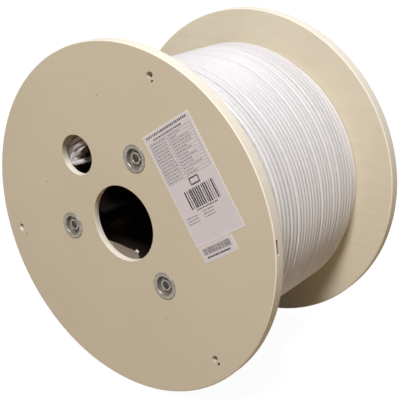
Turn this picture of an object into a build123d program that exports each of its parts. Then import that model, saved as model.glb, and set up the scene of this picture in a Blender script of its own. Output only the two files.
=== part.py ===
from build123d import *
import os
from math import cos, radians, sin

# A plywood cable drum with a full winding of data cable. It lies on its flange rims with its axis
# along Y and the labelled front flange towards -Y. The origin is on the floor under the drum's
# middle. Sizes are in millimetres, and angles are degrees clockwise from the top seen from the front.

# Plywood flanges and the hollow barrel between them
flange_diameter = 400
flange_thickness = 14
flange_edge_bevel = 1
inside_width = 229
spindle_hole_diameter = 87
barrel_diameter = 191
barrel_wall = 5.5

# Pocket in each flange's inner face that seats the barrel's end and thins the plywood round its holes
seat_depth = 6.5
seat_clearance = 1.5

# Hole for the inner cable end, centred a little inside the barrel's wall, with a relief round it that
# is as deep as the pocket, and small holes near the rims
start_hole_diameter = 46
start_hole_inset = 2.5
start_hole_angle = -45.5
start_relief_margin = 7
rim_hole_diameter = 7
rim_hole_inset = 23

# Notch in the barrel's front end that lets the inner cable end through
notch_angle = -53
notch_width = 24
notch_depth = 18

# Tie bolts that clamp the flanges on the barrel, each with a gap to the barrel's inner wall
tie_count = 3
tie_gap = 4
tie_first_angle = 14
bolt_diameter = 8
bolt_clearance = 0.4
bolt_end_chamfer = 0.8
bolt_standout = 0.8
thread_clearance = 0.1
hex_across_flats = 13
nut_height = 4
head_height = 4.2
hex_edge_chamfer = 0.5

# Pressed cup washers that hang in the flanges' tie holes and sink each nut and bolt head. Each stops
# short of the barrel's end by a gap
cup_brim_diameter = 30.5
cup_inner_diameter = 21
cup_metal = 1.5
cup_clearance = 0.4
cup_end_gap = 0.5

# Winding: turns lie side by side in layers. They show as ridges, each a pair of turns wide, on the
# front end and round the last layer
cable_pitch = 6.5
layer_count = 10
turns_per_ridge = 2
ridge_height = 1.8
winding_clearance = 0.3
short_layer_turns = [3, 1]

# Paper stickers on the front flange, tilted with the text running up to the right
label_width = 72
label_length = 126
label_tilt = 34.5
label_angle = 53.2
sticker_width = 49
sticker_length = 17.5
sticker_gap = 0.8
sticker_inset = 1.5
paper_thickness = 0.3

# Sizes that follow from the ones above
flange_radius = flange_diameter / 2
total_width = inside_width + 2 * flange_thickness
barrel_radius = barrel_diameter / 2
winding_inner_radius = barrel_radius + winding_clearance
start_hole_radius = barrel_radius - start_hole_inset
rim_hole_radius = flange_radius - rim_hole_inset
tie_radius = barrel_radius - barrel_wall - tie_gap - bolt_diameter / 2
cup_outer_radius = cup_inner_diameter / 2 + cup_metal
cup_floor_level = seat_depth - flange_thickness + cup_end_gap
label_radius = (spindle_hole_diameter / 2 + flange_radius) / 2
polar_first_angle = 90 - tie_first_angle
FRONT = 1
REAR = -1

os.makedirs("parts", exist_ok=True)


def finish(block, name):
    """Name a finished piece and write it to its own file."""
    block.part.label = name
    export_step(block.part, f"parts/{name}.step")


def outer_face(side):
    """Plane on a flange's outer face, at the drum's axis, with its normal pointing away."""
    centre = (0, -side * total_width / 2, flange_radius)
    return Plane(origin=centre, x_dir=(1, 0, 0), z_dir=(0, -side, 0))


def face_point(radius, angle):
    """Place on a face seen from the front, as its distance right of and above the axis."""
    return radius * sin(radians(angle)), radius * cos(radians(angle))


def tie_point(index):
    """Place of one tie bolt on a face seen from the front."""
    return face_point(tie_radius, tie_first_angle + index * 360 / tie_count)


def tie_plane(index, side):
    """Plane across one tie bolt at a flange's outer face, with its normal pointing away."""
    right, up = tie_point(index)
    centre = (right, -side * total_width / 2, flange_radius + up)
    return Plane(origin=centre, x_dir=(1, 0, 0), z_dir=(0, -side, 0))


def make_flange(side):
    """Plywood disc with a barrel pocket and its spindle, rim and tie holes; the front has a start hole."""
    with BuildPart() as flange:
        with BuildSketch(outer_face(side)):
            Circle(flange_radius)
            Circle(spindle_hole_diameter / 2, mode=Mode.SUBTRACT)
            with PolarLocations(rim_hole_radius, tie_count, start_angle=side * polar_first_angle):
                Circle(rim_hole_diameter / 2, mode=Mode.SUBTRACT)
            with PolarLocations(tie_radius, tie_count, start_angle=side * polar_first_angle):
                Circle(cup_outer_radius + cup_clearance, mode=Mode.SUBTRACT)
            if side == FRONT:
                with Locations(face_point(start_hole_radius, start_hole_angle)):
                    Circle(start_hole_diameter / 2, mode=Mode.SUBTRACT)
        extrude(amount=-flange_thickness)
        rim_edges = flange.edges().filter_by(GeomType.CIRCLE).group_by(SortBy.RADIUS)[-1]
        chamfer(rim_edges, flange_edge_bevel)
        with BuildSketch(outer_face(side).offset(-flange_thickness)):
            Circle(barrel_radius + seat_clearance)
            if side == FRONT:
                with Locations(face_point(start_hole_radius, start_hole_angle)):
                    Circle(start_hole_diameter / 2 + start_relief_margin)
        extrude(amount=seat_depth, mode=Mode.SUBTRACT)
    return flange


def make_cup_washer(index, side):
    """Turned cup: a flat brim on the plywood, and a straight bowl below it with a holed floor."""
    right, up = tie_point(index)
    centre = (right, -side * total_width / 2, flange_radius + up)
    section = Plane(origin=centre, x_dir=(1, 0, 0), z_dir=(0, 0, -side))
    hole_radius = bolt_diameter / 2 + bolt_clearance
    with BuildPart() as cup:
        with BuildSketch(section):
            with BuildLine():
                Polyline(
                    (cup_outer_radius, 0),
                    (cup_brim_diameter / 2, 0),
                    (cup_brim_diameter / 2, cup_metal),
                    (cup_inner_diameter / 2, cup_metal),
                    (cup_inner_diameter / 2, cup_floor_level + cup_metal),
                    (hole_radius, cup_floor_level + cup_metal),
                    (hole_radius, cup_floor_level),
                    (cup_outer_radius, cup_floor_level),
                    close=True,
                )
            make_face()
        revolve(axis=Axis(centre, (0, -side, 0)))
    return cup


def ridge_places(start, end):
    """Grooves and crests, in turn, of whole ridges that fill a span: pairs of (is a crest, place)."""
    ridge_count = round((end - start) / (turns_per_ridge * cable_pitch))
    half_ridge = (end - start) / (2 * ridge_count)
    return [(number % 2 == 1, start + number * half_ridge) for number in range(2 * ridge_count + 1)]


# Flanges
front_flange = make_flange(FRONT)
finish(front_flange, "front_flange")
rear_flange = make_flange(REAR)
finish(rear_flange, "rear_flange")

# Barrel: a tube clamped between the flanges' pockets, with a notch for the cable's inner end
front_seat_face = outer_face(FRONT).offset(seat_depth - flange_thickness)
with BuildPart() as barrel:
    with BuildSketch(front_seat_face):
        Circle(barrel_radius)
        Circle(barrel_radius - barrel_wall, mode=Mode.SUBTRACT)
    extrude(amount=-inside_width - 2 * seat_depth)
    with BuildSketch(front_seat_face):
        with Locations(face_point(barrel_radius, notch_angle)):
            Rectangle(notch_width, 3 * barrel_wall, rotation=-notch_angle)
    extrude(amount=-notch_depth, mode=Mode.SUBTRACT)
finish(barrel, "barrel")

# Winding: one turned solid, ridged on its front end and round its last layer. The last layers stop
# short of the rear flange, which leaves a stepped shoulder there.
front_end = -inside_width / 2 + winding_clearance
rear_end = inside_width / 2 - winding_clearance
groove_level = front_end + ridge_height
winding_radius = winding_inner_radius + layer_count * cable_pitch
groove_radius = winding_radius - ridge_height
full_layers = layer_count - len(short_layer_turns)

shoulder_level = rear_end
shoulder_points = [(winding_inner_radius, rear_end)]
for step, missing_turns in enumerate(reversed(short_layer_turns)):
    step_radius = winding_inner_radius + (full_layers + step) * cable_pitch
    shoulder_points.append((step_radius, shoulder_level))
    shoulder_level = rear_end - missing_turns * cable_pitch
    shoulder_points.append((step_radius, shoulder_level))

end_points = []
for crest, radius in ridge_places(winding_inner_radius, groove_radius):
    end_points.append((radius, front_end if crest else groove_level))
layer_points = []
for crest, level in ridge_places(groove_level, shoulder_level):
    layer_points.append((winding_radius if crest else groove_radius, level))

axial_section = Plane(origin=(0, 0, flange_radius), x_dir=(0, 0, 1), z_dir=(-1, 0, 0))
with BuildPart() as winding:
    with BuildSketch(axial_section):
        with BuildLine():
            Polyline(end_points + layer_points[1:] + shoulder_points[::-1], close=True)
        make_face()
    revolve(axis=Axis((0, 0, flange_radius), (0, 1, 0)))
finish(winding, "cable_winding")

# Fasteners: each tie bolt's head sits in a rear cup and its nut in a front cup
for index in range(tie_count):
    number = index + 1
    finish(make_cup_washer(index, FRONT), f"front_cup_washer_{number}")
    finish(make_cup_washer(index, REAR), f"rear_cup_washer_{number}")

    front_seat = tie_plane(index, FRONT).offset(cup_floor_level + cup_metal)
    with BuildPart() as nut:
        with BuildSketch(front_seat):
            RegularPolygon(hex_across_flats / 2, 6, major_radius=False)
            Circle(bolt_diameter / 2 + thread_clearance, mode=Mode.SUBTRACT)
        extrude(amount=nut_height)
        top_edges = nut.faces().sort_by(Axis.Y)[0].outer_wire().edges()
        chamfer(top_edges, hex_edge_chamfer)
    finish(nut, f"nut_{number}")

    rear_seat = tie_plane(index, REAR).offset(cup_floor_level + cup_metal)
    shank_length = total_width + 2 * (cup_floor_level + cup_metal) + nut_height + bolt_standout
    with BuildPart() as tie_bolt:
        with BuildSketch(rear_seat):
            RegularPolygon(hex_across_flats / 2, 6, major_radius=False)
        extrude(amount=head_height)
        chamfer(tie_bolt.faces().sort_by(Axis.Y)[-1].edges(), hex_edge_chamfer)
        with BuildSketch(rear_seat):
            Circle(bolt_diameter / 2)
        extrude(amount=-shank_length)
        chamfer(tie_bolt.faces().sort_by(Axis.Y)[0].edges(), bolt_end_chamfer)
    finish(tie_bolt, f"tie_bolt_{number}")

# Paper: the printed label, and a small sticker just below its lower edge
label_plane = outer_face(FRONT)
sticker_drop = (label_length + sticker_length) / 2 + sticker_gap
sticker_shift = (sticker_width - label_width) / 2 + sticker_inset
tilt_cos = cos(radians(label_tilt))
tilt_sin = sin(radians(label_tilt))
label_right, label_up = face_point(label_radius, label_angle)
sticker_right = label_right + sticker_shift * tilt_cos + sticker_drop * tilt_sin
sticker_up = label_up + sticker_shift * tilt_sin - sticker_drop * tilt_cos
with BuildPart() as label:
    with BuildSketch(label_plane):
        with Locations((label_right, label_up)):
            Rectangle(label_width, label_length, rotation=label_tilt)
    extrude(amount=paper_thickness)
finish(label, "label")
with BuildPart() as small_sticker:
    with BuildSketch(label_plane):
        with Locations((sticker_right, sticker_up)):
            Rectangle(sticker_width, sticker_length, rotation=label_tilt)
    extrude(amount=paper_thickness)
finish(small_sticker, "small_sticker")
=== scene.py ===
"""Looks of a plywood cable drum that carries a full winding of white data cable.

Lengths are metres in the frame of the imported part: the drum's axis runs along Y, the labelled front
flange is towards -Y and the floor is at Z = 0. Angles on the drum are degrees clockwise from the
top, seen from the front.
"""

import bmesh
import bpy
import numpy as np
from mathutils import Matrix, Vector
from mathutils.geometry import delaunay_2d_cdt


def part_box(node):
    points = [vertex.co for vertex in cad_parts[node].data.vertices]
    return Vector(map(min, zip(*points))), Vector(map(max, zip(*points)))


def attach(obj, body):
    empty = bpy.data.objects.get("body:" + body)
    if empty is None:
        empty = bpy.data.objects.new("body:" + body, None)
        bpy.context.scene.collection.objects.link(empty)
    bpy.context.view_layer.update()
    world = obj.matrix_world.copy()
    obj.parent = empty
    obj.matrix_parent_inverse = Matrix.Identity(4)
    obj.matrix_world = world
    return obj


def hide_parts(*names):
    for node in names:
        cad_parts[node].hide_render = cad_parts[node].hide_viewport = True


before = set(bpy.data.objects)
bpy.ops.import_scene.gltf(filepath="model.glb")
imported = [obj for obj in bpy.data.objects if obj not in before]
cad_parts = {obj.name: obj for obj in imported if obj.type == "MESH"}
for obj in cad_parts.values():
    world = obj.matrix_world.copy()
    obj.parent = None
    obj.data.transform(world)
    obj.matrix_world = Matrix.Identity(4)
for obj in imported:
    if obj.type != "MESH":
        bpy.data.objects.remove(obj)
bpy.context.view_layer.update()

MM = 0.001
FRONT, REAR = 1, -1
draws = np.random.default_rng(41)

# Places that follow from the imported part
FRONT_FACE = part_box("front_flange")[0].y
FRONT_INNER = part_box("front_flange")[1].y
REAR_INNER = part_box("rear_flange")[0].y
REAR_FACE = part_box("rear_flange")[1].y
FLANGE_THICKNESS = FRONT_INNER - FRONT_FACE
RIM_RADIUS = 200 * MM
AXIS_HEIGHT = RIM_RADIUS
SPINDLE_HOLE_RADIUS = 43.5 * MM
TIE_RADIUS = 82 * MM
TIE_ANGLES = (14, 134, 254)
RIM_HOLE_RADIUS = 177 * MM


def on_face(radius, angle):
    """Place on a flange face as (X, height above the floor)."""
    turn = np.radians(angle)
    return radius * np.sin(turn), AXIS_HEIGHT + radius * np.cos(turn)


def ramp(value, width):
    """Rises from 0 to 1 as a value goes from 0 to the width."""
    return np.clip(value / width, 0, 1)


# Meshes


def finished(name, mesh, material, replaced=()):
    """Puts a mesh into the scene as a piece that rides on the drum, with its material and slot."""
    mesh.materials.append(material)
    piece = bpy.data.objects.new(name, mesh)
    bpy.context.scene.collection.objects.link(piece)
    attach(piece, "root")
    if replaced:
        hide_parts(*replaced)


def enclosed_volume(points, quads):
    """Signed volume inside closed quads: a sixth of the triple products of their two triangles."""
    a, b, c, d = (points[quads[:, k]] for k in range(4))
    first = np.einsum("ij,ij->i", a, np.cross(b, c)).sum()
    second = np.einsum("ij,ij->i", a, np.cross(c, d)).sum()
    return (first + second) / 6


def grid_quads(index):
    """Quads between the neighbours in a grid of point numbers."""
    corners = (index[:-1, :-1], index[1:, :-1], index[1:, 1:], index[:-1, 1:])
    return np.stack(corners, axis=-1).reshape(-1, 4)


def grid_mesh(name, grids, sharp, values=None):
    """Mesh of quads over grids of points, rows by columns by 3, that close in both directions.

    Faces are turned outwards by the sign of the volume that they enclose. Edges that bend more than
    sharp degrees stay crisp, and values are numbers for each point, kept as named attributes.
    """
    all_points, all_quads, start = [], [], 0
    for grid in grids:
        rows, columns, _ = grid.shape
        index = np.arange(rows * columns).reshape(rows, columns)
        quads = grid_quads(np.pad(index, ((0, 1), (0, 1)), mode="wrap"))
        points = grid.reshape(-1, 3)
        if enclosed_volume(points, quads) < 0:
            quads = quads[:, ::-1]
        all_points.append(points)
        all_quads.append(quads + start)
        start += len(points)
    points = np.vstack(all_points)
    quads = np.vstack(all_quads)
    mesh = bpy.data.meshes.new(name)
    mesh.vertices.add(len(points))
    mesh.vertices.foreach_set("co", points.ravel())
    mesh.loops.add(quads.size)
    mesh.loops.foreach_set("vertex_index", quads.ravel())
    mesh.polygons.add(len(quads))
    mesh.polygons.foreach_set("loop_start", np.arange(0, quads.size, 4))
    for key, numbers in (values or {}).items():
        mesh.attributes.new(key, "FLOAT", "POINT").data.foreach_set("value", numbers.ravel())
    mesh.update(calc_edges=True)
    mesh.shade_smooth()
    mesh.set_sharp_from_angle(angle=np.radians(sharp))
    return mesh


# Materials


def linear(hex_code):
    """sRGB hex colour as linear RGBA."""
    channels = np.array([int(hex_code[k:k + 2], 16) for k in (1, 3, 5)]) / 255
    low, high = channels / 12.92, ((channels + 0.055) / 1.055) ** 2.4
    return (*np.where(channels <= 0.04045, low, high), 1.0)


def add_node(tree, kind, inputs=None, **settings):
    """Adds one shader node. settings are its properties, and each input is a value or an output."""
    made = tree.nodes.new(kind)
    for name, value in settings.items():
        setattr(made, name, value)
    for key, value in (inputs or {}).items():
        if isinstance(value, bpy.types.NodeSocket):
            tree.links.new(value, made.inputs[key])
        else:
            made.inputs[key].default_value = value
    return made


def new_material(name):
    """An empty node material and its tree."""
    material = bpy.data.materials.new(name)
    material.use_nodes = True
    tree = material.node_tree
    tree.nodes.clear()
    return material, tree


def object_place(tree):
    """Place on the piece in metres."""
    return add_node(tree, "ShaderNodeTexCoord").outputs["Object"]


def attribute(tree, name):
    """Number that each point of the mesh carries under this name."""
    return add_node(tree, "ShaderNodeAttribute", attribute_name=name).outputs["Fac"]


def noise(tree, place, scale, detail):
    """Soft noise from 0 to 1, with so many lumps to the metre."""
    inputs = {"Vector": place, "Scale": scale, "Detail": detail}
    return add_node(tree, "ShaderNodeTexNoise", inputs).outputs["Fac"]


def maths(tree, operation, *values):
    """Result of one sum on numbers or outputs."""
    inputs = dict(enumerate(values))
    return add_node(tree, "ShaderNodeMath", inputs, operation=operation).outputs[0]


def spread(tree, value, low, high, to_low=0.0, to_high=1.0):
    """A value between low and high, spread from to_low to to_high and held there outside."""
    ends = {"From Min": low, "From Max": high, "To Min": to_low, "To Max": to_high}
    return add_node(tree, "ShaderNodeMapRange", {"Value": value, **ends}).outputs["Result"]


def mix(tree, share, *colours):
    """First colour with a share of the second. Each is a hex colour or an output.

    The numbers are the sockets of the colour Mix node: its factor, its two colours and its result.
    """
    first, second = (linear(c) if isinstance(c, str) else c for c in colours)
    inputs = {0: share, 6: first, 7: second}
    return add_node(tree, "ShaderNodeMix", inputs, data_type="RGBA").outputs[2]


def bump(tree, height, strength, distance):
    """Normals that follow a height, whose full swing is the distance."""
    inputs = {"Height": height, "Strength": strength, "Distance": distance}
    return add_node(tree, "ShaderNodeBump", inputs).outputs[0]


def surface(tree, inputs):
    """Principled shader with these inputs, on the material's output."""
    shader = add_node(tree, "ShaderNodeBsdfPrincipled", inputs)
    add_node(tree, "ShaderNodeOutputMaterial", {"Surface": shader.outputs[0]})


def poplar_plywood(name, early, late, cloudy):
    """Sanded poplar plywood, peeled veneers laid crosswise and pressed, with no varnish.

    The eye sees a matt, pale buff face veneer with faint long grain, and an edge of nine thin plies
    whose long-grain layers are ivory and whose end-grain layers are a greyer pink. The face
    veneer's tones are those of one sheet: its early wood, its late wood and its clouds.
    """
    material, tree = new_material(name)
    place = object_place(tree)
    along = add_node(tree, "ShaderNodeSeparateXYZ", {0: place}).outputs["Y"]
    depth = maths(tree, "SUBTRACT", REAR_FACE, maths(tree, "ABSOLUTE", along))
    half_thickness = FLANGE_THICKNESS / 2
    from_core = maths(tree, "ABSOLUTE", maths(tree, "SUBTRACT", depth, half_thickness))
    ply_thickness = FLANGE_THICKNESS / 9
    plies = maths(tree, "DIVIDE", depth, ply_thickness)
    # Glue lines wander by a fifth of a ply over a few centimetres
    shifted = maths(tree, "MULTIPLY_ADD", noise(tree, place, 28.0, 2.0), 0.4, plies)
    cycle = maths(tree, "FRACT", maths(tree, "MULTIPLY", shifted, 0.5))
    end_grain = spread(tree, cycle, 0.53, 0.57)
    # The edge shows below a face's first few hundredths, so both faces keep their own colour
    inside = spread(tree, from_core, half_thickness - 0.05 * MM, half_thickness - 0.3 * MM)

    # Face grain: lines about 1.5 mm apart that run on for some 60 mm across the face
    turn_and_stretch = {"Vector": place, "Rotation": (0, np.radians(52), 0), "Scale": (1, 1, 14)}
    stretched = add_node(tree, "ShaderNodeMapping", turn_and_stretch).outputs[0]
    grain = noise(tree, stretched, 16.0, 6.0)
    clouds = noise(tree, place, 9.0, 3.0)
    face = mix(tree, spread(tree, grain, 0.35, 0.68), early, late)
    face = mix(tree, spread(tree, clouds, 0.4, 0.7, to_high=0.5), face, cloudy)

    # Pores of about 1 mm show as specks in the end-grain plies
    pores = noise(tree, place, 900.0, 2.0)
    cross_ply = mix(tree, spread(tree, pores, 0.45, 0.75), "#EEE2D3", "#DACAB7")
    edge = mix(tree, end_grain, "#F8F1E3", cross_ply)
    colour = mix(tree, inside, face, edge)

    # Painted shade: the core gap, slits, rim holes, flap and upper left of the start hole's wall
    # darken
    colour = mix(tree, attribute(tree, "darkness"), colour, "#463323")
    surface(tree, {
        "Base Color": colour, "Roughness": 0.62, "IOR": 1.5, "Specular IOR Level": 0.3,
        "Normal": bump(tree, maths(tree, "ADD", grain, pores), 0.25, 0.15 * MM),
    })
    return material


def cable_sheath():
    """Extruded PVC cable sheath, white with a cool cast and a soft sheen.

    The eye sees near-white round turns with a broad soft highlight, slightly different whites from
    turn to turn, and brown-grey darkening in the valleys between them, partly dust and partly
    painted shade.
    """
    material, tree = new_material("extruded_white_pvc_sheath")
    dust_and_shade = noise(tree, object_place(tree), 60.0, 4.0)
    # Valleys darken to brown-grey: partly dust, partly painted shade between the turns
    dust_and_shade_share = maths(tree, "MULTIPLY", maths(tree, "MULTIPLY", attribute(tree, "valley"), dust_and_shade), 0.14)
    white = mix(tree, attribute(tree, "turn_tint"), "#E0DDDF", "#E9E6E7")
    surface(tree, {
        "Base Color": mix(tree, dust_and_shade_share, white, "#5C4E42"), "Roughness": 0.42, "IOR": 1.53,
        "Specular IOR Level": 0.4, "Normal": bump(tree, dust_and_shade, 0.1, 0.2 * MM),
        "Subsurface Weight": 0.45, "Subsurface Radius": (1.0, 0.95, 0.9),
        "Subsurface Scale": 2.2 * MM,
    })
    return material


def zinc_steel():
    """Pressed steel, bright zinc plated and then handled, so it is dull and a little cloudy.

    The eye sees a cool grey metal with soft broken highlights and cloudy patches a few millimetres
    wide.
    """
    material, tree = new_material("zinc_plated_steel")
    clouds = noise(tree, object_place(tree), 260.0, 4.0)
    surface(tree, {
        "Base Color": mix(tree, clouds, "#BDB5AC", "#807A72"), "Metallic": 0.7,
        "Roughness": spread(tree, clouds, 0.3, 0.7, 0.34, 0.56),
        "Normal": bump(tree, clouds, 0.2, 0.1 * MM),
    })
    return material


def phosphated_steel():
    """Rolled steel bolt, phosphated and oiled.

    The eye sees a dull grey-black with a brownish cast, a little lighter where it was handled.
    """
    material, tree = new_material("phosphated_steel")
    clouds = noise(tree, object_place(tree), 320.0, 4.0)
    colour = mix(tree, clouds, "#565049", "#2F2A26")
    surface(tree, {"Base Color": colour, "Metallic": 0.6, "Roughness": 0.55})
    return material


def kraft_board():
    """Kraft board tube, wound in a spiral from glued brown paper strips.

    The eye sees dull board with a fine fibrous mottle. Its brown is darkened to near black as
    painted shade, so that the inside of the barrel reads dark.
    """
    material, tree = new_material("spiral_wound_kraft_board")
    fibres = noise(tree, object_place(tree), 300.0, 5.0)
    # Near-black browns: painted shade for the barrel's inside, darker than the board itself
    surface(tree, {
        "Base Color": mix(tree, fibres, "#382B21", "#241B15"), "Roughness": 0.9,
        "Specular IOR Level": 0.2, "Normal": bump(tree, fibres, 0.3, 0.2 * MM),
    })
    return material


def label_paper():
    """Self-adhesive label paper, matt coated and die cut.

    The eye sees an off-white with a faint mauve cast, cloudy, and paler along the cut edges.
    """
    material, tree = new_material("matt_coated_label_paper")
    clouds = noise(tree, object_place(tree), 35.0, 3.0)
    colour = mix(tree, clouds, "#E2DBE0", "#D7D0D5")
    colour = mix(tree, attribute(tree, "border"), colour, "#EFE9E8")
    surface(tree, {"Base Color": colour, "Roughness": 0.5, "IOR": 1.5, "Specular IOR Level": 0.4})
    return material


def transfer_ink():
    """Thermal transfer ink, melted on to the label from a ribbon.

    The eye sees a flat near-black, a little worn so that some of it is greyer.
    """
    material, tree = new_material("thermal_transfer_ink")
    wear = noise(tree, object_place(tree), 700.0, 3.0)
    surface(tree, {"Base Color": mix(tree, wear, "#1F1B1A", "#4A4442"), "Roughness": 0.55})
    return material


front_plywood = poplar_plywood("sanded_poplar_plywood_buff", "#D7CBB6", "#D5C9B3", "#D1C5B0")
# The rear flange's paler tones are painted light: they stand in for bounce light from the white
# winding
rear_plywood = poplar_plywood("sanded_poplar_plywood_painted_lighter", "#E2D7C1", "#DDD1BB", "#D6CAB2")
sheath = cable_sheath()
zinc = zinc_steel()
dark_steel = phosphated_steel()
board = kraft_board()
paper = label_paper()
ink = transfer_ink()


def dress(node_name, material):
    """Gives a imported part's own mesh its material."""
    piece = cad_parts[node_name]
    piece.data.materials.clear()
    piece.data.materials.append(material)


# Winding: round turns side by side, in layers

CABLE_PITCH = 6.5 * MM
CABLE_RADIUS = 3.15 * MM
LAYER_COUNT = 10
WINDING_INNER = 95.8 * MM
OUTER_LAYER = WINDING_INNER + (LAYER_COUNT - 1) * CABLE_PITCH
END_GAP = 0.3 * MM
SHOULDER = 99.5 * MM
# The part of each round turn that shows, and how many samples go round the drum
TURN_SAMPLES = np.radians(np.linspace(44, 136, 7))
ROUND_SAMPLES = 216
TURN_WANDER = 0.12 * MM
WANDER_WAVES = np.arange(1, 5)
# Wider gaps between turns of the last layer, as (place along the drum's axis, gap) in millimetres
WIDE_GAPS = ((-63, 2.2), (-44, 1.5), (-30, 0.9), (24, 1.0), (47, 0.9), (61, 2.0))
# A wide gap's three points: over the turns' middles, and how far the outer two lie from a turn's
WIDE_GAP_LEVELS = np.array([1.0, -2.4, 1.0]) * MM
WIDE_GAP_SIDE = 2.9 * MM
# Darkening of a wider gap, partly dust and partly painted shade: a base and more for each millimetre
WIDE_GAP_DUST_AND_SHADE, MORE_GAP_DUST_AND_SHADE = 1.6, 1.2
# The wider gaps are open towards this angle, and close up opposite to it by rising this much
GAP_OPEN_ANGLE, GAP_RISE = np.radians(55), 1.6 * MM
# The front end's turns show through the start hole, so their valleys are darkened much more, as
# painted shade
FRONT_END_SHADE = 12
# The last layer's turns lean forwards, from one place along the axis on, most towards 100 degrees
LEAN, LEAN_START, LEAN_SPAN, LEAN_STOP = 9 * MM, -20 * MM, 100 * MM, 103 * MM
LEAN_ANGLE = np.radians(10)


def last_layer_places():
    """Axial middles of the last layer's turns: one pitch apart, pushed on by each wider gap."""
    first = FRONT_INNER + END_GAP + CABLE_PITCH / 2
    gaps = np.array(WIDE_GAPS) * MM
    turn_count = int((SHOULDER - first - gaps[:, 1].sum()) / CABLE_PITCH) + 1
    regular = first + CABLE_PITCH * np.arange(turn_count)
    pushed = (regular[:, None] > gaps[:, 0]) * gaps[:, 1]
    return regular + pushed.sum(axis=1)


def winding_section():
    """Closed section of the winding, as arrays of radius, axial place, turn number and valley.

    Each turn that shows is an arc of its round cable: middle + r (-cos a, sin a), with a from 44 to
    136 degrees. The arcs face forwards on the front end and outwards on the last layer and the
    shoulder, and each wider gap goes deeper than the turns' middles.
    """
    across, outward = -CABLE_RADIUS * np.cos(TURN_SAMPLES), CABLE_RADIUS * np.sin(TURN_SAMPLES)
    valley = 1 - np.sin(TURN_SAMPLES)
    layer_middle = WINDING_INNER + CABLE_PITCH * (np.arange(LAYER_COUNT) + 0.5)
    radii, places, turns, valleys = [], [], [], []

    def arcs(radius, place, first_turn):
        count = len(radius)
        radii.append(radius.ravel())
        places.append(place.ravel())
        turns.append(np.repeat(first_turn + np.arange(count), len(TURN_SAMPLES)))
        valleys.append(np.tile(valley, count))
        return first_turn + count

    end_level = FRONT_INNER + END_GAP + CABLE_RADIUS
    front = layer_middle[:, None]
    number = arcs(front + across, end_level - outward + 0 * front, 0)
    valleys[0] = FRONT_END_SHADE * valleys[0]
    outer = last_layer_places()
    for group in np.split(outer, np.flatnonzero(np.diff(outer) > 1.05 * CABLE_PITCH) + 1):
        radius = layer_middle[-1] + outward + 0 * group[:, None]
        number = arcs(radius, group[:, None] + across, number)
        if group[-1] < outer[-1]:
            gap_end = outer[outer > group[-1]][0]
            gap = (gap_end - group[-1] - CABLE_PITCH) / MM
            radii.append(layer_middle[-1] + WIDE_GAP_LEVELS)
            places.append(np.array([
                group[-1] + WIDE_GAP_SIDE, (group[-1] + gap_end) / 2, gap_end - WIDE_GAP_SIDE,
            ]))
            turns.append(np.full(3, number - 1))
            valleys.append(np.full(3, WIDE_GAP_DUST_AND_SHADE + MORE_GAP_DUST_AND_SHADE * gap))
    # The shoulder: two turns of the layer below show, then one of the layer below that
    below = outer[-1] + CABLE_PITCH * np.array([[0.95], [1.9]])
    number = arcs(layer_middle[-2] + outward + 0 * below, below + across, number)
    last = np.array([[REAR_INNER - END_GAP - CABLE_RADIUS]])
    number = arcs(layer_middle[-3] + outward + 0 * last, last + across, number)
    # The rear end and the bore, which the flange and the barrel hide
    radii.append(np.array([layer_middle[-3], WINDING_INNER, WINDING_INNER, WINDING_INNER]))
    rear_level, front_level = REAR_INNER - END_GAP, end_level - outward[0]
    places.append(np.array([rear_level, rear_level, 0.0, front_level]))
    turns.append(np.full(4, number))
    valleys.append(np.ones(4))
    return [np.concatenate(group) for group in (radii, places, turns, valleys)]


def uneven(turn_numbers, round_angle):
    """Wander of each turn round the drum: four slow waves with their own sizes and starts."""
    shape = (int(turn_numbers.max()) + 1, len(WANDER_WAVES), 1)
    sizes = draws.normal(0, TURN_WANDER, shape) / WANDER_WAVES[:, None]
    starts = draws.uniform(0, 2 * np.pi, shape)
    shift = (sizes * np.cos(WANDER_WAVES[:, None] * round_angle + starts)).sum(axis=1)
    shift[-1] = 0
    return shift[turn_numbers]


# Strands that show in the start hole, as (radius at -45 degrees, how far they bulge forwards, half
# span in degrees), then their middle's angle, how far they run inwards for each degree, and their
# Y at the ends
STRANDS = ((117.5, 2.8, 8), (110.5, 4.4, 11), (103.5, 5.8, 13.5), (96.5, 6.8, 15))
STRAND_ANGLE, STRAND_SLOPE, STRAND_LEVEL = -46, 0.42, -109.8
# Inner end of the cable, which goes through the barrel's notch, as (angle, radius, Y) stations
INNER_END = np.array([
    (-78, 99.2, -109.0), (-69, 99.2, -111.5), (-64, 99.1, -115.0), (-60.8, 98.6, -117.2),
    (-57.6, 94.0, -117.8), (-55.2, 91.0, -116.0), (-53.0, 88.5, -110.5), (-51.0, 86.5, -102.0),
    (-47.0, 84.0, -88.0),
])
# Each strand is a pipe, so that its surface closes. Its painted shade grows from front to rear,
# towards the winding
STRAND_BORE = 0.5 * MM
LEAST_STRAND_SHADE, MORE_STRAND_SHADE = 4, 12


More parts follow.
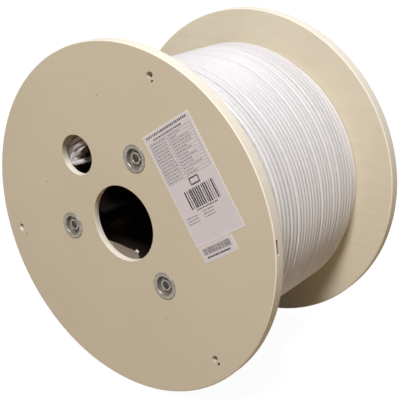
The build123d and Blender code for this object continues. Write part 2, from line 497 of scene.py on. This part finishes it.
def strand(angle, radius, along):
    """Cable on a path of (angle, radius, Y), as a pipe: rings out on its sheath and back inside.

    ring point = path + R (n cos u + b sin u), where n and b stand square to the path. The second
    result is painted shade, which grows from the forward side to the one that faces the winding.
    """
    turn = np.radians(angle)
    height = AXIS_HEIGHT / MM + radius * np.cos(turn)
    path = np.stack([radius * np.sin(turn), along, height], axis=-1) * MM
    ahead = np.gradient(path, axis=0)
    ahead /= np.linalg.norm(ahead, axis=1)[:, None]
    outward = np.stack([np.sin(turn), 0 * turn, np.cos(turn)], axis=-1)
    beside = np.cross(ahead, outward)
    beside /= np.linalg.norm(beside, axis=1)[:, None]
    square = np.cross(beside, ahead)
    round_it = np.linspace(0, 2 * np.pi, 20, endpoint=False)[:, None]
    spokes = square[:, None] * np.cos(round_it) + beside[:, None] * np.sin(round_it)
    outside = path[:, None] + CABLE_RADIUS * spokes
    inside = path[:, None] + STRAND_BORE * spokes
    # Painted shade, most on the side that faces the winding
    painted_shade = LEAST_STRAND_SHADE + MORE_STRAND_SHADE * np.clip(0.7 + spokes[..., 1], 0, 1)
    return np.concatenate([outside, inside[::-1]]), np.concatenate([painted_shade, painted_shade[::-1]])


def smoothed(numbers, width=9):
    """Running mean of a row of numbers, whose ends are held."""
    held = np.pad(numbers, width // 2, mode="edge")
    return np.convolve(held, np.ones(width) / width, "valid")


def start_hole_strands():
    """The turns that bulge into the start hole's relief, and the cable's inner end."""
    made = []
    for radius, bulge, half_span in STRANDS:
        reach = 1.3 * half_span
        angle = np.linspace(STRAND_ANGLE - reach, STRAND_ANGLE + reach, 60)
        rise = np.cos(np.clip((angle - STRAND_ANGLE) / half_span, -1, 1) * np.pi / 2) ** 2
        inwards = radius - STRAND_SLOPE * (angle + 45)
        made.append(strand(angle, inwards, STRAND_LEVEL - bulge * rise))
    angle = np.linspace(INNER_END[0, 0], INNER_END[-1, 0], 90)
    radius, along = (smoothed(np.interp(angle, INNER_END[:, 0], INNER_END[:, k])) for k in (1, 2))
    made.append(strand(angle, radius, along))
    return made


def make_winding():
    """Winding as one surface over its section and the turn round the drum.

    point = (r sin t, y, axis + r cos t), where r and y are the section's values with each turn's
    own wander added, the lean of the last layer and the rise of its gaps.
    """
    radius, along, turn, valley = winding_section()
    turn = turn.astype(int)
    round_angle = np.linspace(0, 2 * np.pi, ROUND_SAMPLES, endpoint=False)
    r = radius[:, None] + uneven(turn, round_angle)
    y = along[:, None] + uneven(turn, round_angle)
    outer = radius > OUTER_LAYER
    share = ramp(along - LEAN_START, LEAN_SPAN) * outer * (along < LEAN_STOP)
    y = y - LEAN * share[:, None] * np.clip(np.sin(round_angle - LEAN_ANGLE), 0, 1) ** 2
    in_gap = ((valley > WIDE_GAP_DUST_AND_SHADE) & outer)[:, None]
    closed = in_gap * np.clip(0.5 - 0.9 * np.cos(round_angle - GAP_OPEN_ANGLE), 0, 1)
    r = r + GAP_RISE * closed
    grid = np.stack([r * np.sin(round_angle), y, AXIS_HEIGHT + r * np.cos(round_angle)], axis=-1)
    # Valley darkening, dust and painted shade, is less where a wider gap closes up
    dust_and_shade = valley[:, None] * (1 - 0.9 * closed)
    tints = np.repeat(draws.uniform(0, 1, turn.max() + 1)[turn], ROUND_SAMPLES)
    strands = start_hole_strands()
    sizes = [painted_shade.size for _, painted_shade in strands]
    strand_tints = np.repeat(draws.uniform(0, 1, len(sizes)), sizes)
    # The strands' painted shade joins the winding's valley darkening
    values = {
        "valley": np.concatenate([dust_and_shade.ravel()] + [painted_shade.ravel() for _, painted_shade in strands]),
        "turn_tint": np.concatenate([tints, strand_tints]),
    }
    grids = [grid] + [rings for rings, _ in strands]
    mesh = grid_mesh("winding_turns", grids, 60, values)
    finished("winding_turns", mesh, sheath, ["cable_winding"])


# Plywood flanges, with sanded edges, torn tie-off holes, slits, dents and a core gap in the rim

RIM_HOLE_SIZE = 3.5 * MM
TIE_HOLE_SIZE = 12.4 * MM
START_HOLE_PLACE, START_HOLE_SIZE = (93 * MM, -45.5), 23 * MM
POCKET_RADIUS, POCKET_LEVEL, START_RELIEF_RADIUS = 97 * MM, 7.5 * MM, 30 * MM
# The last veneer of the inner face still covers the rear flange's rim holes
LAST_VENEER = 0.6 * MM
# Sanded edge, as (how far out of the hole, how deep), and the same for the bevelled rim
EASE = np.array([(0.45, 0.0), (0.13, 0.13), (0.0, 0.45)]) * MM
RIM_EASE = np.array([(-1.3, 0.0), (-0.9, 0.12), (-0.12, 0.9), (0.0, 1.3)]) * MM
# Rows of points on the rim's edge, from the outer face, with more of them at the core gap
RIM_LEVELS = np.array([1.6, 1.9, 2.0, 2.15, 3.0, 3.6, 4.3, 5.15, 5.3, 5.4, 8.0, 11.5]) * MM
# The core gap's two ends in degrees, its two levels, how deep it goes, and how it fades at each end
GAP_START, GAP_STOP = 80.0, 84.5
GAP_UPPER, GAP_LOWER = 1.9 * MM, 5.4 * MM
GAP_DEPTH = 6 * MM
GAP_END_FADE, GAP_LEVEL_FADE = 0.25, 0.2 * MM
# Torn sides of the tie-off holes, as (flange, hole, direction of the tear, its size in millimetres)
TEARS = (
    (FRONT, 0, 72, 3.4), (FRONT, 1, 10, 1.6), (FRONT, 2, 186, 3.2),
    (REAR, 0, 80, 1.8), (REAR, 1, 200, 1.5), (REAR, 2, 20, 1.4),
)
# A tear's rings, as (share of its size, depth in millimetres), and its half width in radians
TEAR_RINGS = ((1.0, 0.0), (0.93, 0.12), (0.5, 0.5), (0.12, 1.1), (0.0, 1.6))
TEAR_SPREAD = 0.75
# Slits beside the tie-off holes and dents, as (X, height over the axis, length, width, direction)
# in millimetres and degrees
SLITS = (
    (46.6, 166.4, 3.6, 1.5, 50), (132.4, -126.6, 4.6, 2.2, 30), (-161.5, -56.5, 3.0, 0.8, 40),
    (-118.0, 22.0, 2.2, 0.7, 20), (60.0, -96.0, 1.8, 0.7, 100), (-31.0, 139.0, 1.6, 0.6, 50),
)
SLIT_DEPTH = 1.4 * MM
# Flap of torn veneer behind the spindle hole's lower left: a rough chord, a tip and an arc, in
# millimetres from the axis, and its two faces' depths
FLAP_LEFT, FLAP_RIGHT, FLAP_TOP = -31.0, 9.0, -30.8
FLAP_TIP = (
    (10.6, -31.4), (12.0, -30.4), (13.4, -31.6), (15.3, -32.0), (14.0, -35.5), (15.4, -38.4),
)
FLAP_RADIUS, FLAP_ARC = 45, (160, 227)
FLAP_DEPTHS = (7.52, 8.6)
# Painted shade on the flap, the worn rim holes and the start hole's wall: how far each goes from
# clean wood to a near-black brown
FLAP_SHADE, RIM_HOLE_SHADE, START_HOLE_SHADE = 0.8, 0.35, 0.6


def ring(hole, out, depth):
    """One ring of a hole: middle + (R + out) (sin t, cos t) across the face, at its depth."""
    middle, reach, turn = hole[0], hole[1] + out, hole[2]
    across = middle[0] + reach * np.sin(turn)
    up = middle[1] + reach * np.cos(turn)
    return np.stack([across, depth + 0 * turn, up], axis=-1)


def round_hole(radius, angle, size, count):
    """A round hole at its place on the face, as its middle, its reach all round and the turns."""
    turn = np.linspace(0, 2 * np.pi, count, endpoint=False)
    return on_face(radius, angle), size + 0 * turn, turn


def sanded_end(hole, depth, ease=EASE):
    """Rings of a sanded edge at a wall's deep end."""
    return [ring(hole, out, depth - deep) for out, deep in ease[::-1]]


def hole_wall(hole, depth):
    """Rings of a through hole with both edges sanded."""
    return [ring(hole, *edge) for edge in EASE] + sanded_end(hole, depth)


def pocket_rings(is_front):
    """Rings of the barrel's pocket, which in the front flange takes in the start hole's relief.

    The relief's circle as seen from the axis is r cos d + sqrt(R^2 - r^2 sin^2 d).
    """
    turn = np.linspace(0, 2 * np.pi, 180, endpoint=False)
    reach = POCKET_RADIUS + 0 * turn
    if is_front:
        hole_radius, hole_angle = START_HOLE_PLACE
        lean = turn - np.radians(hole_angle)
        under = START_RELIEF_RADIUS ** 2 - (hole_radius * np.sin(lean)) ** 2
        relief = hole_radius * np.cos(lean) + np.sqrt(np.clip(under, 0, None))
        reach = np.where((under > 0) & (np.cos(lean) > 0), np.maximum(reach, relief), reach)
    pocket = (0.0, AXIS_HEIGHT), reach, turn
    return [ring(pocket, 0, POCKET_LEVEL)] + sanded_end(pocket, FLANGE_THICKNESS)


def torn_hole(radius, angle, direction, size, through):
    """Tie-off hole with one side torn: its rings widen there near the face, by a ragged bell."""
    hole = round_hole(radius, angle, RIM_HOLE_SIZE, 48)
    turn = hole[2]
    from_tear = np.mod(turn - np.radians(direction) + np.pi, 2 * np.pi) - np.pi
    bell = np.exp(-(from_tear / TEAR_SPREAD) ** 2)
    ragged = 0.75 + 0.25 * np.sin(9 * turn) * np.cos(4 * turn + 1)
    tear = size * MM * bell * ragged + 0.12 * MM * (1 + np.sin(7 * turn))
    rings = [ring(hole, share * tear, deep * MM) for share, deep in TEAR_RINGS]
    if through:
        return rings + sanded_end(hole, FLANGE_THICKNESS)
    return rings + [ring(hole, 0, FLANGE_THICKNESS - LAST_VENEER)]


def torn_veneer():
    """Two rings round the flap of torn veneer, in front and behind."""
    chord = np.linspace(FLAP_LEFT, FLAP_RIGHT, 30)
    ragged = 0.35 * np.sin(1.9 * chord) + 0.25 * np.sin(4.3 * chord + 1)
    rough = FLAP_TOP - 0.055 * (chord - FLAP_LEFT) + ragged
    turn = np.radians(np.linspace(*FLAP_ARC, 40))
    arc = FLAP_RADIUS * np.stack([np.sin(turn), np.cos(turn)], axis=-1)
    right, up = np.vstack([np.stack([chord, rough], axis=-1), FLAP_TIP, arc]).T * MM
    return [
        np.stack([right, depth * MM + 0 * up, AXIS_HEIGHT + up], axis=-1) for depth in FLAP_DEPTHS
    ]


def slit(right, up, length, width, direction):
    """Blind slit: three rings of an ellipse that narrows down to its floor."""
    turn = np.linspace(0, 2 * np.pi, 28, endpoint=False)
    half_long, half_wide, lean = length / 2 * MM, width / 2 * MM, turn - np.radians(direction)
    reach = half_long * half_wide / np.hypot(half_wide * np.cos(lean), half_long * np.sin(lean))
    reach = reach * (1 + 0.12 * np.sin(5 * turn + up))
    hole = (right * MM, AXIS_HEIGHT + up * MM), reach, turn
    rings = ((0.12 * MM, 0.0), (0.0, 0.2 * MM), (-0.45 * reach, SLIT_DEPTH))
    return [ring(hole, out, depth) for out, depth in rings]


def rim_rings(with_gap):
    """Rings of the rim. The core gap is a place where the edge goes in, over its rows."""
    near_gap = np.linspace(GAP_START - 0.4, GAP_STOP + 0.4, 24)
    angle = np.union1d(np.linspace(0, 360, 360, endpoint=False), near_gap)
    turn = np.radians(angle)
    rim = (0.0, AXIS_HEIGHT), RIM_RADIUS + 0 * turn, turn
    ends = ramp(angle - GAP_START, GAP_END_FADE) * ramp(GAP_STOP - angle, GAP_END_FADE)
    ragged = 0.8 + 0.2 * np.sin(angle * 11)
    rings = [ring(rim, *edge) for edge in RIM_EASE]
    for level in RIM_LEVELS:
        across = ramp(level - GAP_UPPER, GAP_LEVEL_FADE) * ramp(GAP_LOWER - level, GAP_LEVEL_FADE)
        rings.append(ring(rim, -GAP_DEPTH * across * ends * ragged * with_gap, level))
    return rings + sanded_end(rim, FLANGE_THICKNESS, RIM_EASE)


def wall(rings):
    """Points and quads of a wall through its rings, which close on themselves."""
    grid = np.stack(rings)
    index = np.arange(grid.shape[0] * grid.shape[1]).reshape(grid.shape[:2])
    return grid.reshape(-1, 3), grid_quads(np.hstack([index, index[:, :1]]))


def plate(rings):
    """Points and triangles of the flat plate inside the first ring and outside the others.

    A triangle stays if a ray from its middle crosses the rings an odd number of times.
    """
    points = np.vstack(rings)[:, [0, 2]]
    starts = np.cumsum([0] + [len(each) for each in rings[:-1]])
    following = np.concatenate([
        start + np.roll(np.arange(len(each)), -1) for each, start in zip(rings, starts)
    ])
    edges = np.stack([np.arange(len(points)), following], axis=-1)
    corners = [Vector(point) for point in points]
    made, _, faces, *_ = delaunay_2d_cdt(corners, edges.tolist(), [], 0, 1e-8)
    made, faces = np.array(made), np.array(faces)
    middle = made[faces].mean(axis=1)[:, None]
    a, b = points[edges[:, 0]], points[edges[:, 1]]
    straddles = (a[:, 1] > middle[..., 1]) != (b[:, 1] > middle[..., 1])
    slope = (b[:, 0] - a[:, 0]) / np.where(b[:, 1] == a[:, 1], 1, b[:, 1] - a[:, 1])
    crossed = straddles & (middle[..., 0] < a[:, 0] + (middle[..., 1] - a[:, 1]) * slope)
    kept = faces[crossed.sum(axis=1) % 2 == 1]
    return np.stack([made[:, 0], rings[0][0, 1] + 0 * made[:, 0], made[:, 1]], axis=-1), kept


def joined(pieces):
    """Points and faces of several walls, plates and caps, one after the other."""
    points, faces, count = [], [], 0
    for piece_points, piece_faces in pieces:
        faces += (piece_faces + count).tolist()
        points.append(piece_points)
        count += len(piece_points)
    return np.vstack(points), faces


def flange_painted_shade(points, is_front, slits):
    """How dark a flange's points are painted as shade, from 0 to 1.

    points are (X, depth under the outer face, height over the floor). The core gap, the slits, the
    rim holes, the flap but for its tip, and the upper left of the start hole get painted shade.
    """
    across, depth, height = points.T
    from_axis = np.hypot(across, height - AXIS_HEIGHT)
    # Painted shade in the core gap, deepest at its back
    in_gap = (from_axis > RIM_RADIUS - 7 * MM) & (depth > 1.8 * MM) & (depth < 5.5 * MM)
    painted_shade = np.where(in_gap, ramp(RIM_RADIUS - from_axis, 1.5 * MM), 0)
    # Painted shade inside the slits
    for rings in slits:
        middle = rings[0][:, [0, 2]].mean(axis=0)
        near = np.hypot(across - middle[0], height - middle[1]) < 3 * MM
        painted_shade[near & (depth > 0.1 * MM) & (depth < 2 * MM)] = 1
    # Painted shade on the rim holes' walls
    for angle in TIE_ANGLES:
        middle = on_face(RIM_HOLE_RADIUS, angle)
        near = np.hypot(across - middle[0], height - middle[1]) < RIM_HOLE_SIZE + 0.3 * MM
        painted_shade[near & (depth > 0.05 * MM)] = RIM_HOLE_SHADE
    # Painted shade on the flap of torn veneer, all but its tip
    on_flap = (from_axis < FLAP_RADIUS * MM + 1 * MM) & (depth > POCKET_LEVEL + 0.01 * MM)
    painted_shade[on_flap & ((across < 11 * MM) | (height < AXIS_HEIGHT - 33 * MM))] = FLAP_SHADE
    # Painted shade on the start hole's wall, most on its upper left
    if is_front:
        middle = on_face(*START_HOLE_PLACE)
        right, up = across - middle[0], height - middle[1]
        out = np.hypot(right, up) - START_HOLE_SIZE
        on_wall = (out > -0.1 * MM) & (out < 0.2 * MM) & (depth < POCKET_LEVEL)
        facing = np.cos(np.arctan2(right, up) + np.radians(40))
        painted_shade = np.where(on_wall, START_HOLE_SHADE * np.clip(1.3 * facing, 0, 1), painted_shade)
    return painted_shade


def make_flange(node_name, side, plywood):
    """Flange as walls through its rings and flat plates between them, welded into one closed shell.

    Only the front one has the start hole, slits, a core gap and the flap, and open rim holes.
    """
    is_front = side == FRONT
    holes = [round_hole(0, 0, SPINDLE_HOLE_RADIUS, 144)]
    holes += [round_hole(TIE_RADIUS, angle, TIE_HOLE_SIZE, 72) for angle in TIE_ANGLES]
    if is_front:
        holes.append(round_hole(*START_HOLE_PLACE, START_HOLE_SIZE, 108))
    bored = [hole_wall(hole, POCKET_LEVEL) for hole in holes]
    torn = [
        torn_hole(RIM_HOLE_RADIUS, TIE_ANGLES[number], direction, size, is_front)
        for flange, number, direction, size in TEARS if flange == side
    ]
    slits = [slit(*numbers) for numbers in SLITS] if is_front else []
    flap = torn_veneer() if is_front else []
    through, blind = (torn, slits) if is_front else ([], torn)
    rim = rim_rings(is_front)
    pocket = pocket_rings(is_front)

    pieces = [wall(rings) for rings in [rim, pocket] + bored + torn + slits]
    pieces.append(plate([rings[0] for rings in [rim] + bored + torn + slits]))
    pieces.append(plate([pocket[0]] + [rings[-1] for rings in bored]))
    pieces.append(plate([rim[-1], pocket[-1]] + [rings[-1] for rings in through]))
    pieces += [wall(flap)] if flap else []
    caps = [rings[-1] for rings in blind] + flap
    points, faces = joined(pieces + [(cap, np.arange(len(cap))[None]) for cap in caps])
    painted_shade = flange_painted_shade(points, is_front, slits)
    points[:, 1] = (FRONT_FACE if is_front else REAR_FACE) + side * points[:, 1]

    name = node_name + "_sanded"
    mesh = bpy.data.meshes.new(name)
    mesh.from_pydata(points.tolist(), [], faces)
    mesh.attributes.new("darkness", "FLOAT", "POINT").data.foreach_set("value", painted_shade)
    shell = bmesh.new()
    shell.from_mesh(mesh)
    bmesh.ops.remove_doubles(shell, verts=shell.verts, dist=0.002 * MM)
    bmesh.ops.recalc_face_normals(shell, faces=shell.faces)
    shell.normal_update()
    shell.to_mesh(mesh)
    shell.free()
    # The flat faces stay flat. This comes last, because marking the sharp edges resets it
    mesh.set_sharp_from_angle(angle=np.radians(35))
    normals = np.empty(3 * len(mesh.polygons))
    mesh.polygons.foreach_get("normal", normals)
    mesh.polygons.foreach_set("use_smooth", np.abs(normals[1::3]) < 0.99)
    finished(name, mesh, plywood, [node_name])


# Cup washers and nuts

# Closed section of a cup, as (radius, height over the flange's face) in millimetres
CUP_PROFILE = (
    (12.2, -0.4), (12.4, 0.02), (14.6, 0.02), (15.05, 0.2), (15.25, 0.6), (15.2, 1.0), (14.9, 1.3),
    (14.3, 1.45), (13.0, 1.5), (11.9, 1.42), (11.1, 1.1), (10.7, 0.5), (10.5, -0.4), (10.3, -1.6),
    (10.1, -2.9), (9.7, -4.1), (9.0, -5.0), (8.0, -5.45), (7.0, -5.5), (4.5, -5.5), (4.4, -5.7),
    (4.4, -6.9), (8.4, -7.0), (10.2, -6.6), (11.2, -5.6), (11.6, -4.2), (11.9, -1.6),
)
NUT_SEAT, NUT_HEIGHT, NUT_HALF_WIDTH, NUT_BORE = -5.5 * MM, 4 * MM, 6.5 * MM, 4.1 * MM
NUT_BEVEL, NUT_BORE_BEVEL = 0.1 * MM, 0.5 * MM
# The cone that cuts a nut's corners off starts this far under its top and this far inside a flat
NUT_CONE_DROP, NUT_CONE_INSET, NUT_CONE_ANGLE = 0.15 * MM, 0.2 * MM, np.radians(30)


STEEL_TURN = np.linspace(0, 2 * np.pi, 72, endpoint=False)


def turned(radii, heights, place, face, side):
    """Points of a piece turned about a line through place, along Y, with heights out of the face.

    point = (x + r cos t, face - side * h, z + r sin t), over the rings and the turn t.
    """
    x, z = place[0] + radii * np.cos(STEEL_TURN), place[1] + radii * np.sin(STEEL_TURN)
    return np.stack([x, face - side * heights + 0 * x, z], axis=-1)


def make_cup_washer(name, node_name, place, face, side):
    """Pressed cup washer: a flat brim, a rolled lip and a slightly tapered bowl with a floor."""
    radii, heights = np.array(CUP_PROFILE).T[..., None] * MM
    mesh = grid_mesh(name, [turned(radii, heights, place, face, side)], 50)
    finished(name, mesh, zinc, [node_name])


def make_nut(name, node_name, place, face, side):
    """Hexagon nut: rings from its bore out to the hexagon and back, its corners cut off by a cone.

    The hexagon's reach is its half width over the cosine of the turn from the nearest flat.
    """
    hexagon = NUT_HALF_WIDTH / np.cos(np.mod(STEEL_TURN, np.pi / 3) - np.pi / 6)
    drop = (hexagon - NUT_HALF_WIDTH) * np.tan(NUT_CONE_ANGLE) + NUT_CONE_DROP
    top = NUT_SEAT + NUT_HEIGHT
    rings = (
        (NUT_BORE, NUT_SEAT), (hexagon - NUT_BEVEL, NUT_SEAT), (hexagon, NUT_SEAT + NUT_BEVEL),
        (hexagon, top - drop), (NUT_HALF_WIDTH - NUT_CONE_INSET, top),
        (NUT_BORE + NUT_BORE_BEVEL, top), (NUT_BORE, top - NUT_BORE_BEVEL),
    )
    radii, heights = (np.stack([row[k] + 0 * STEEL_TURN for row in rings]) for k in (0, 1))
    mesh = grid_mesh(name, [turned(radii, heights, place, face, side)], 28)
    finished(name, mesh, zinc, [node_name])


# Paper label and sticker, with generic ruled lines and plain bars

LABEL_MIDDLE = on_face((SPINDLE_HOLE_RADIUS + RIM_RADIUS) / 2, 53.2)
LABEL_TILT = np.radians(34.5)
LABEL_SIZE = (72 * MM, 126 * MM)
STICKER_SIZE = (49 * MM, 17.5 * MM)
STICKER_TOP = 126.8 * MM
STICKER_LEFT = 1.5 * MM
# Heights over the plywood of the paper's top and underside and of the ink over the paper, and how
# high the paper's blisters are, which lie 17 and 41 mm apart
PAPER_TOP, PAPER_UNDER, INK_LIFT = 0.24 * MM, 0.01 * MM, 0.03 * MM
BLISTER, BLISTER_ACROSS, BLISTER_DOWN = 0.01 * MM, 17 * MM, 41 * MM


def label_points(across, down, lift):
    """Places on the label: across from its left side, down from its top and off the plywood."""
    u, v = across - LABEL_SIZE[0] / 2, down - LABEL_SIZE[1] / 2
    x = LABEL_MIDDLE[0] + u * np.cos(LABEL_TILT) + v * np.sin(LABEL_TILT)
    z = LABEL_MIDDLE[1] + u * np.sin(LABEL_TILT) - v * np.cos(LABEL_TILT)
    return np.stack([x, FRONT_FACE - lift + 0 * x, z], axis=-1)


def paper_lift(across, down):
    """Height of the paper's top: its thickness with shallow blisters, as two crossed sine waves."""
    across_wave = np.sin(across / BLISTER_ACROSS * 2 * np.pi + 1.3)
    return PAPER_TOP + BLISTER * across_wave * np.sin(down / BLISTER_DOWN * 2 * np.pi)


def make_paper(name, node_name, left, top, size):
    """Sheet of label paper as a closed shell over its width and length, lifted by its blisters."""
    across = left + np.linspace(0, size[0], 40)
    down = top + np.linspace(0, size[1], 60)
    across, down = np.meshgrid(across, down, indexing="ij")
    upper = label_points(across, down, paper_lift(across, down))
    lower = label_points(across, down, PAPER_UNDER)
    points = np.stack([upper, lower]).reshape(-1, 3)
    rows, columns = across.shape
    index = np.arange(2 * rows * columns).reshape(2, rows, columns)
    patches = (
        index[0], index[1, :, ::-1],
        index[:, 0, :], index[::-1, -1, :], index[::-1, :, 0], index[:, :, -1],
    )
    quads = np.vstack([grid_quads(patch) for patch in patches])
    if enclosed_volume(points - points.mean(axis=0), quads) < 0:
        quads = quads[:, ::-1]
    mesh = bpy.data.meshes.new(name)
    mesh.from_pydata(points.tolist(), [], quads.tolist())
    border = np.ones((2, rows, columns))
    border[:, 1:-1, 1:-1] = 0
    mesh.attributes.new("border", "FLOAT", "POINT").data.foreach_set("value", border.ravel())
    mesh.shade_smooth()
    mesh.set_sharp_from_angle(angle=np.radians(40))
    finished(name, mesh, paper, [node_name])


def run_of(width, gap, left, right, top, bottom):
    """Boxes of drawn widths and gaps from a left side up to a right one, as rows of (left, top,
    right, bottom)."""
    ends = left + np.cumsum(width + gap) - gap
    kept = ends < right
    full = np.ones(kept.sum())
    return np.stack([(ends - width)[kept], top * full, ends[kept], bottom * full], axis=-1)


def dashes(left, right, line, height, lengths, gaps):
    """Plain dashes along one line: a stand-in for a printed line."""
    dash = draws.uniform(*lengths, 40)
    gap = draws.uniform(*gaps, 40)
    return run_of(dash, gap, left, right, line, line + height)


def bars(left, right, top, bottom, widths):
    """Upright plain bars of drawn widths between two sides, with gaps of the same kind."""
    width = draws.choice(widths, 60)
    gap = draws.choice(widths, 60)
    return run_of(width, gap, left, right, top, bottom)


def frame_lines(left, top, right, bottom, line):
    """Four thin boxes that outline a field."""
    return np.array([
        [left, top, right, top + line], [left, bottom - line, right, bottom],
        [left, top, left + line, bottom], [right - line, top, right, bottom],
    ])


# The label's ruled table in millimetres from the label's top left corner, and its dashes' lengths
# and gaps
TABLE_LEFT, TABLE_RIGHT, TABLE_TOP, TABLE_BOTTOM = 4.0, 68.0, 10.6, 57.0
TABLE_SPLIT, TABLE_LINE, ROW_PITCH, ROW_COUNT = 31.0, 0.25, 3.3, 14
ROW_WORDS, ROW_SPACES = (0.8, 2.2), (0.5, 1.0)
NOTE_WORDS, NOTE_SPACES = (1.0, 2.6), (0.5, 0.9)


def make_print():
    """Generic print in millimetres: a heading line, a ruled table of plain dashes, a plain outlined
    field, bars, short lines, and bars and a line on the sticker."""
    boxes = [dashes(4, 67, 2.4, 2.4, (1.0, 2.2), (0.9, 1.4))]
    boxes.append(dashes(13, 58, 7.4, 1.5, (1.0, 3.0), (0.4, 0.9)))
    for row in range(ROW_COUNT):
        line = TABLE_TOP + ROW_PITCH * row
        text = line + 1.3
        boxes.append(np.array([[TABLE_LEFT, line, TABLE_RIGHT, line + 0.22]]))
        boxes.append(dashes(5, 29, text, 0.85, ROW_WORDS, ROW_SPACES))
        boxes.append(dashes(33, 33 + draws.uniform(12, 33), text, 0.85, ROW_WORDS, ROW_SPACES))
    boxes.append(frame_lines(TABLE_LEFT, TABLE_TOP, TABLE_RIGHT, TABLE_BOTTOM, TABLE_LINE))
    boxes.append(np.array([[TABLE_SPLIT, TABLE_TOP, TABLE_SPLIT + TABLE_LINE, TABLE_BOTTOM]]))
    boxes.append(frame_lines(32.0, 59.0, 46.0, 67.0, 1.5))
    boxes.append(bars(18, 61.5, 69.5, 89.4, (0.6, 1.1, 1.9)))
    boxes.append(dashes(24, 57, 90.8, 1.3, (0.9, 1.8), (0.6, 1.0)))
    for line in (95.5, 98.6, 101.7):
        boxes.append(dashes(5, 22, line, 0.8, NOTE_WORDS, NOTE_SPACES))
        boxes.append(dashes(30, 46, line - 1, 0.8, NOTE_WORDS, NOTE_SPACES))
    left, top = STICKER_LEFT / MM, STICKER_TOP / MM
    boxes.append(bars(left + 4, left + 44, top + 3, top + 10, (0.4, 0.7)))
    boxes.append(dashes(left + 6, left + 42, top + 12, 2.0, (1.2, 2.4), (0.4, 0.7)))
    left, top, right, bottom = np.vstack(boxes).T * MM
    across = np.stack([left, right, right, left], axis=-1)
    down = np.stack([top, top, bottom, bottom], axis=-1)
    points = label_points(across, down, paper_lift(across, down) + INK_LIFT).reshape(-1, 3)
    quads = np.arange(len(points)).reshape(-1, 4)
    mesh = bpy.data.meshes.new("label_print")
    mesh.from_pydata(points.tolist(), [], quads.tolist())
    finished("label_print", mesh, ink)


# The drum

make_winding()
make_flange("front_flange", FRONT, front_plywood)
make_flange("rear_flange", REAR, rear_plywood)
dress("barrel", board)
for number, angle in enumerate(TIE_ANGLES, start=1):
    place = on_face(TIE_RADIUS, angle)
    make_cup_washer(f"front_cup_{number}", f"front_cup_washer_{number}", place, FRONT_FACE, FRONT)
    make_cup_washer(f"rear_cup_{number}", f"rear_cup_washer_{number}", place, REAR_FACE, REAR)
    make_nut(f"hexagon_nut_{number}", f"nut_{number}", place, FRONT_FACE, FRONT)
    dress(f"tie_bolt_{number}", dark_steel)
make_paper("label_sheet", "label", 0, 0, LABEL_SIZE)
make_paper("sticker_sheet", "small_sticker", STICKER_LEFT, STICKER_TOP, STICKER_SIZE)
make_print()


# Studio


def pale_floor():
    """Matt pale floor that shows white to the camera and in gloss, and still takes the shadow."""
    material, tree = new_material("pale_studio_floor")
    ray = add_node(tree, "ShaderNodeLightPath").outputs
    seen = maths(tree, "MAXIMUM", ray["Is Camera Ray"], ray["Is Glossy Ray"])
    seen = maths(tree, "MAXIMUM", seen, ray["Is Transmission Ray"])
    warm = add_node(tree, "ShaderNodeBsdfDiffuse", {"Color": linear("#8E7449")}).outputs[0]
    neutral = add_node(tree, "ShaderNodeBsdfDiffuse", {"Color": linear("#636261")}).outputs[0]
    white = add_node(tree, "ShaderNodeEmission", {"Color": linear("#FFFFFF"), "Strength": 0.955})
    look = add_node(tree, "ShaderNodeAddShader", {0: neutral, 1: white.outputs[0]}).outputs[0]
    mixed = add_node(tree, "ShaderNodeMixShader", {0: seen, 1: warm, 2: look}).outputs[0]
    add_node(tree, "ShaderNodeOutputMaterial", {"Surface": mixed})
    return material


def make_floor():
    """Floor: one square of 12 m at Z = 0."""
    half = 6.0
    corners = [(-half, -half, 0), (half, -half, 0), (half, half, 0), (-half, half, 0)]
    mesh = bpy.data.meshes.new("studio_floor")
    mesh.from_pydata(corners, [], [(0, 1, 2, 3)])
    mesh.materials.append(pale_floor())
    floor = bpy.data.objects.new("studio_floor", mesh)
    bpy.context.scene.collection.objects.link(floor)


def light_world():
    """Even pale surroundings: white to the camera and through glass, a plain fill elsewhere."""
    world = bpy.data.worlds.new("studio_surroundings")
    bpy.context.scene.world = world
    world.use_nodes = True
    tree = world.node_tree
    tree.nodes.clear()
    ray = add_node(tree, "ShaderNodeLightPath").outputs
    seen = maths(tree, "MAXIMUM", ray["Is Camera Ray"], ray["Is Transmission Ray"])
    fill, white = (
        add_node(tree, "ShaderNodeBackground", {"Color": linear("#FFFFFF"), "Strength": strength})
        for strength in (0.18, 1.0)
    )
    ends = {0: seen, 1: fill.outputs[0], 2: white.outputs[0]}
    mixed = add_node(tree, "ShaderNodeMixShader", ends).outputs[0]
    add_node(tree, "ShaderNodeOutputWorld", {"Surface": mixed})


def softbox(name, place, aim, size, power):
    """Square soft lamp that faces its aim."""
    lamp = bpy.data.lights.new(name, "AREA")
    lamp.shape = "SQUARE"
    lamp.size = size
    lamp.energy = power
    holder = bpy.data.objects.new(name, lamp)
    holder.location = place
    holder.rotation_euler = (Vector(aim) - Vector(place)).to_track_quat("-Z", "Y").to_euler()
    bpy.context.scene.collection.objects.link(holder)


def place_camera():
    """Camera as fitted to the two flange circles, the spindle hole and the winding."""
    eye = Vector((0.6047, -0.7633, 0.5792))
    right = Vector((0.787, 0.6169, 0.0))
    up = Vector((-0.2304, 0.2939, 0.9277))
    forward = Vector((-0.5723, 0.7301, -0.3734))
    camera_data = bpy.data.cameras.new("photo_camera")
    camera_data.lens = 78.4
    camera_data.sensor_width = 36.0
    camera = bpy.data.objects.new("photo_camera", camera_data)
    turn = Matrix((right, up, -forward)).transposed()
    camera.matrix_world = Matrix.Translation(eye) @ turn.to_4x4()
    bpy.context.scene.collection.objects.link(camera)
    bpy.context.scene.camera = camera


make_floor()
light_world()
DRUM_MIDDLE = (0, 0, 0.2)
softbox("key_softbox", (1.03, -2.2, 3.36), DRUM_MIDDLE, 0.9, 150.0)
softbox("rear_softbox", (-0.9, 2.6, 2.9), DRUM_MIDDLE, 1.8, 38.0)
place_camera()
bpy.context.scene.view_settings.view_transform = "Standard"
